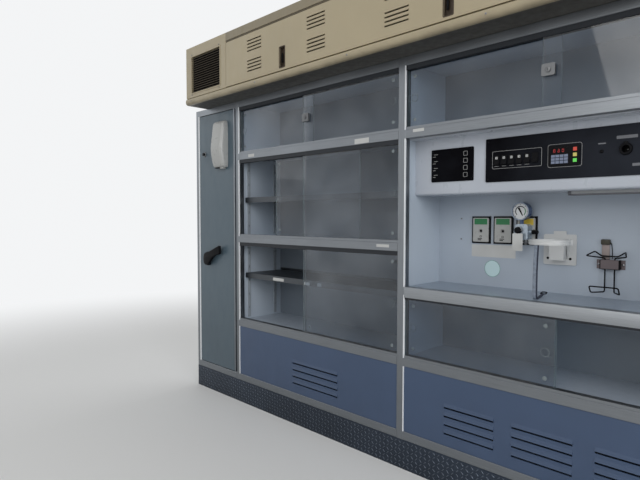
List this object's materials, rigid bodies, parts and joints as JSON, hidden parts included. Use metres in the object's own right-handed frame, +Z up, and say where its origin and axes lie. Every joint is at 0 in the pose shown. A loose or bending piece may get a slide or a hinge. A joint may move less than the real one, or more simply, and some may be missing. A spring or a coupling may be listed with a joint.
{
  "type": "ambulance side-wall cabinet unit",
  "caption": "Aluminium-framed wall cabinet from an ambulance's patient compartment, with sliding clear doors, a locker, a work recess and an overhead louvred hatch.",
  "frame": {"origin": "on the floor under the middle of the unit's box", "axes": "+X along the vehicle's side wall towards its front, +Y into the wall, +Z up; the doors face -Y"},
  "size_m": [2.522, 0.43, 1.848],
  "materials": {
    "frame_metal": "brushed, clear anodised",
    "case_board": "satin pale grey",
    "grey_panel": "satin grey-blue",
    "tread_plate": "raised tread pattern",
    "clear_pane": "clear acrylic",
    "lock_metal": "satin",
    "shelf_metal": "satin",
    "black_plastic": "fine grained",
    "counter_top": "satin",
    "console_paint": "satin light grey",
    "white_plastic": "moulded",
    "lamp_lens": "frosted",
    "regulator_metal": "satin chrome",
    "gauge_case": "moulded",
    "black_wire": "dipped black",
    "webbing": "woven strap",
    "cream_paint": "satin warm off-white",
    "soffit_paint": "satin grey"
  },
  "bodies": {
    "cabinet": {"back_panel": "case_board", "bracket_plate": "white_plastic", "bracket_strap": "webbing", "canister_ring": "white_plastic", "console_lamp": "lamp_lens", "console_shell": "console_paint", "control_panel": "black_plastic", "counter": "counter_top", "counter_nosing": "frame_metal", "decks": "case_board", "display_unit": "black_plastic", "duct_grilles": "cream_paint", "frame_posts": "frame_metal", "frame_rails": "frame_metal", "gas_outlets": "white_plastic", "hatch_hinge_fixed": "frame_metal", "kick_plate": "tread_plate", "locker_hinge_fixed": "frame_metal", "lower_tracks": "frame_metal", "overhead_back": "cream_paint", "overhead_fascia": "cream_paint", "overhead_lip": "cream_paint", "overhead_soffit": "soffit_paint", "overhead_top": "cream_paint", "overhead_walls": "cream_paint", "power_socket": "black_plastic", "rack_clamp": "black_wire", "recess_wall": "case_board", "regulator_body": "regulator_metal", "regulator_knob": "black_plastic", "rocker_switches": "black_plastic", "shelf_clips": "black_plastic", "shelf_standards": "shelf_metal", "shelves": "shelf_metal", "switch_plate": "black_plastic", "upper_tracks": "frame_metal", "upright_panels": "case_board", "vacuum_gauge": "gauge_case", "vent_panels": "grey_panel", "wire_rack": "black_wire"},
    "row_a_left_door": {"pane_row_a_left": "clear_pane"},
    "row_a_right_door": {"pane_row_a_right": "clear_pane", "lock_row_a": "lock_metal"},
    "row_b_left_door": {"pane_row_b_left": "clear_pane"},
    "row_b_right_door": {"pane_row_b_right": "clear_pane"},
    "row_c_left_door": {"pane_row_c_left": "clear_pane"},
    "row_c_right_door": {"pane_row_c_right": "clear_pane"},
    "upper_left_door": {"pane_upper_left": "clear_pane"},
    "upper_right_door": {"pane_upper_right": "clear_pane", "lock_upper": "lock_metal"},
    "lower_left_door": {"pane_lower_left": "clear_pane"},
    "lower_right_door": {"pane_lower_right": "clear_pane"},
    "locker_door": {"locker_door": "grey_panel", "locker_hinge_moving": "frame_metal", "locker_latch": "black_plastic", "dispenser": "white_plastic"},
    "hatch": {"hatch_panel": "cream_paint", "hatch_pulls": "black_plastic", "hatch_hinge_moving": "frame_metal"}
  },
  "joints": [
    {"name": "row_a_left_slide", "type": "slide", "parent": "cabinet", "child": "row_a_left_door", "axis": [1, 0, 0], "range_m": [0, 0.476]},
    {"name": "row_a_right_slide", "type": "slide", "parent": "cabinet", "child": "row_a_right_door", "axis": [-1, 0, 0], "range_m": [0, 0.476]},
    {"name": "row_b_left_slide", "type": "slide", "parent": "cabinet", "child": "row_b_left_door", "axis": [1, 0, 0], "range_m": [-0.27132, 0.20468]},
    {"name": "row_b_right_slide", "type": "slide", "parent": "cabinet", "child": "row_b_right_door", "axis": [-1, 0, 0], "range_m": [0, 0.476]},
    {"name": "row_c_left_slide", "type": "slide", "parent": "cabinet", "child": "row_c_left_door", "axis": [1, 0, 0], "range_m": [-0.476, 0]},
    {"name": "row_c_right_slide", "type": "slide", "parent": "cabinet", "child": "row_c_right_door", "axis": [-1, 0, 0], "range_m": [0, 0.476]},
    {"name": "upper_left_slide", "type": "slide", "parent": "cabinet", "child": "upper_left_door", "axis": [1, 0, 0], "range_m": [0, 0.499]},
    {"name": "upper_right_slide", "type": "slide", "parent": "cabinet", "child": "upper_right_door", "axis": [-1, 0, 0], "range_m": [0, 0.499]},
    {"name": "lower_left_slide", "type": "slide", "parent": "cabinet", "child": "lower_left_door", "axis": [1, 0, 0], "range_m": [0, 0.499]},
    {"name": "lower_right_slide", "type": "slide", "parent": "cabinet", "child": "lower_right_door", "axis": [-1, 0, 0], "range_m": [-0.499, 0]},
    {"name": "locker_hinge", "type": "hinge", "parent": "cabinet", "child": "locker_door", "pos_m": [-0.8945, -0.0888, 0.834], "axis": [0, 0, 1], "range_deg": [0, 110]},
    {"name": "hatch_hinge", "type": "hinge", "parent": "cabinet", "child": "hatch", "pos_m": [0.0265, -0.206, 1.805], "axis": [-1, 0, 0], "range_deg": [0, 80]}
  ]
}
